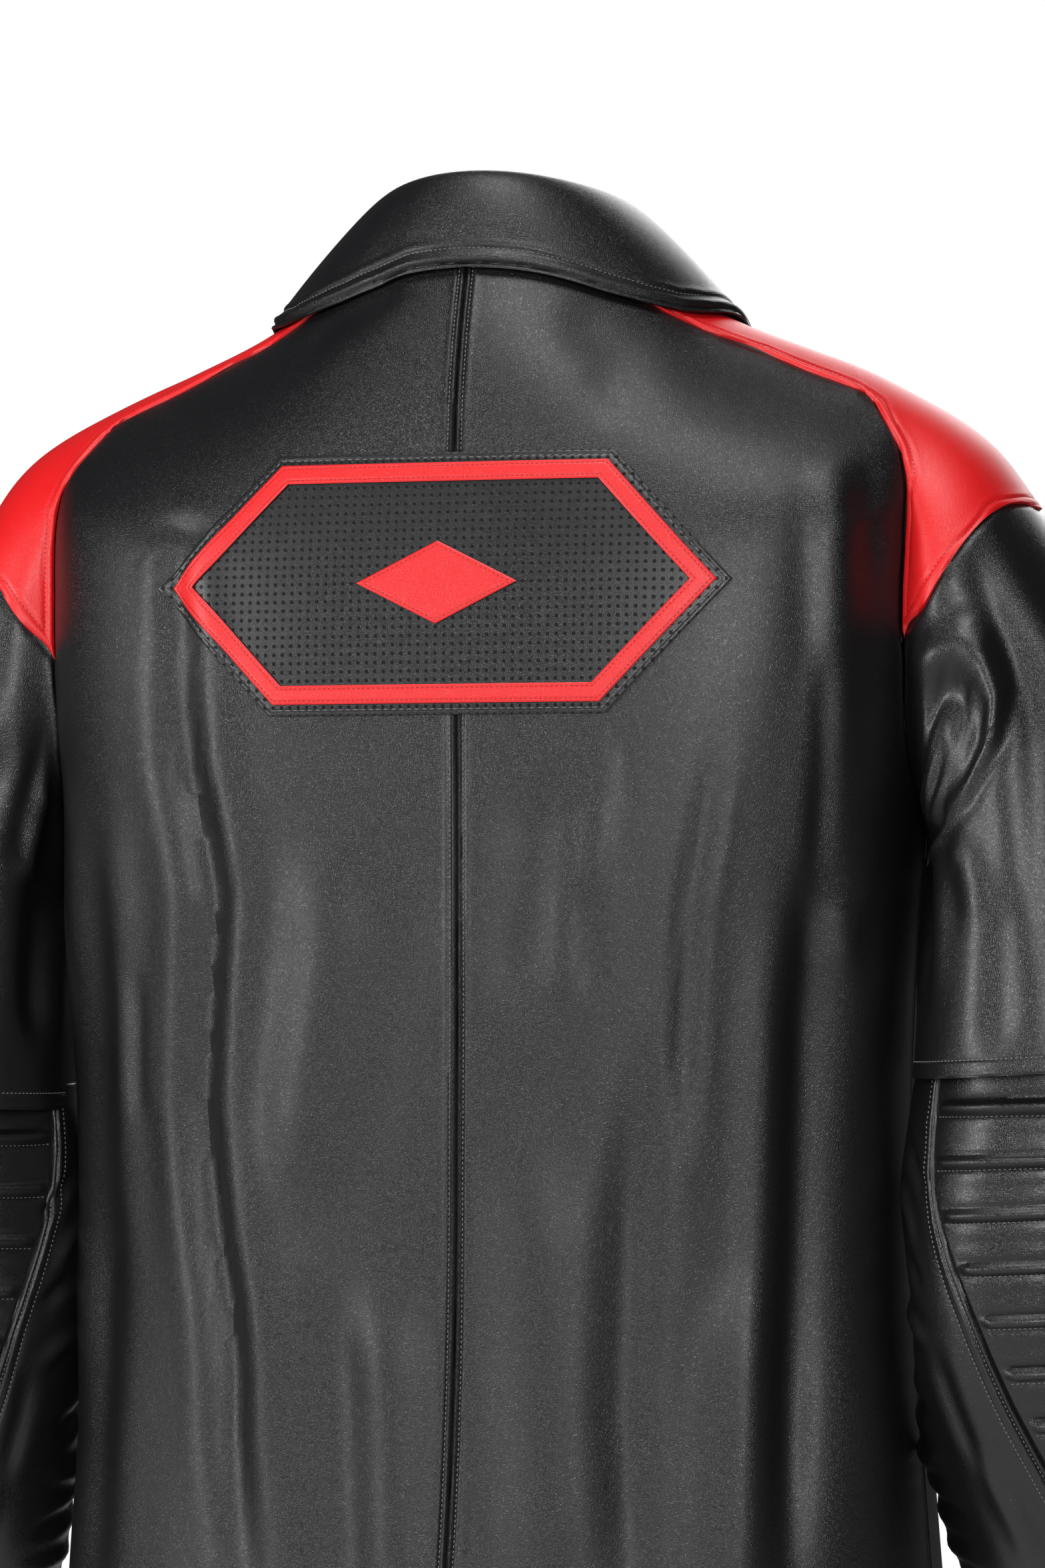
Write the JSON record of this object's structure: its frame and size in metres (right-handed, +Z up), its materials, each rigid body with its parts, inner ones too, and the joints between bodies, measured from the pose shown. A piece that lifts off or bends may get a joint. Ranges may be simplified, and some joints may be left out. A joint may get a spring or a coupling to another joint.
{
  "type": "leather jacket",
  "caption": "Black leather jacket worn out to its full hollow form, with red saddle shoulders, a turned-down shirt collar, short over-sleeves, corded elbows and a patch on the back.",
  "frame": {"origin": "the middle of the neck opening at the height of the nape, where the wearer's neck and shoulders carry the jacket", "axes": "+Z up, -Y out of the front, +X towards the wearer's left"},
  "size_m": [0.776, 0.3001, 0.8046],
  "materials": {
    "black_leather": "semi-gloss pebbled black leather",
    "red_leather": "smooth semi-gloss red leather",
    "perforated_leather": "matt perforated black leather",
    "stud_metal": "blackened press-stud cap"
  },
  "bodies": {
    "root": {"back_left": "black_leather", "front_left": "black_leather", "oversleeve_left": "black_leather", "sleeve_left": "black_leather", "elbow_left": "black_leather", "shoulder_left": "red_leather", "back_right": "black_leather", "front_right": "black_leather", "oversleeve_right": "black_leather", "sleeve_right": "black_leather", "elbow_right": "black_leather", "shoulder_right": "red_leather", "collar_stand": "black_leather", "collar_fall": "black_leather", "badge_base": "perforated_leather", "badge_band": "red_leather", "badge_diamond": "red_leather", "stud_1": "stud_metal", "stud_2": "stud_metal", "stud_3": "stud_metal", "stud_4": "stud_metal", "stud_5": "stud_metal", "stud_6": "stud_metal"}
  },
  "joints": []
}
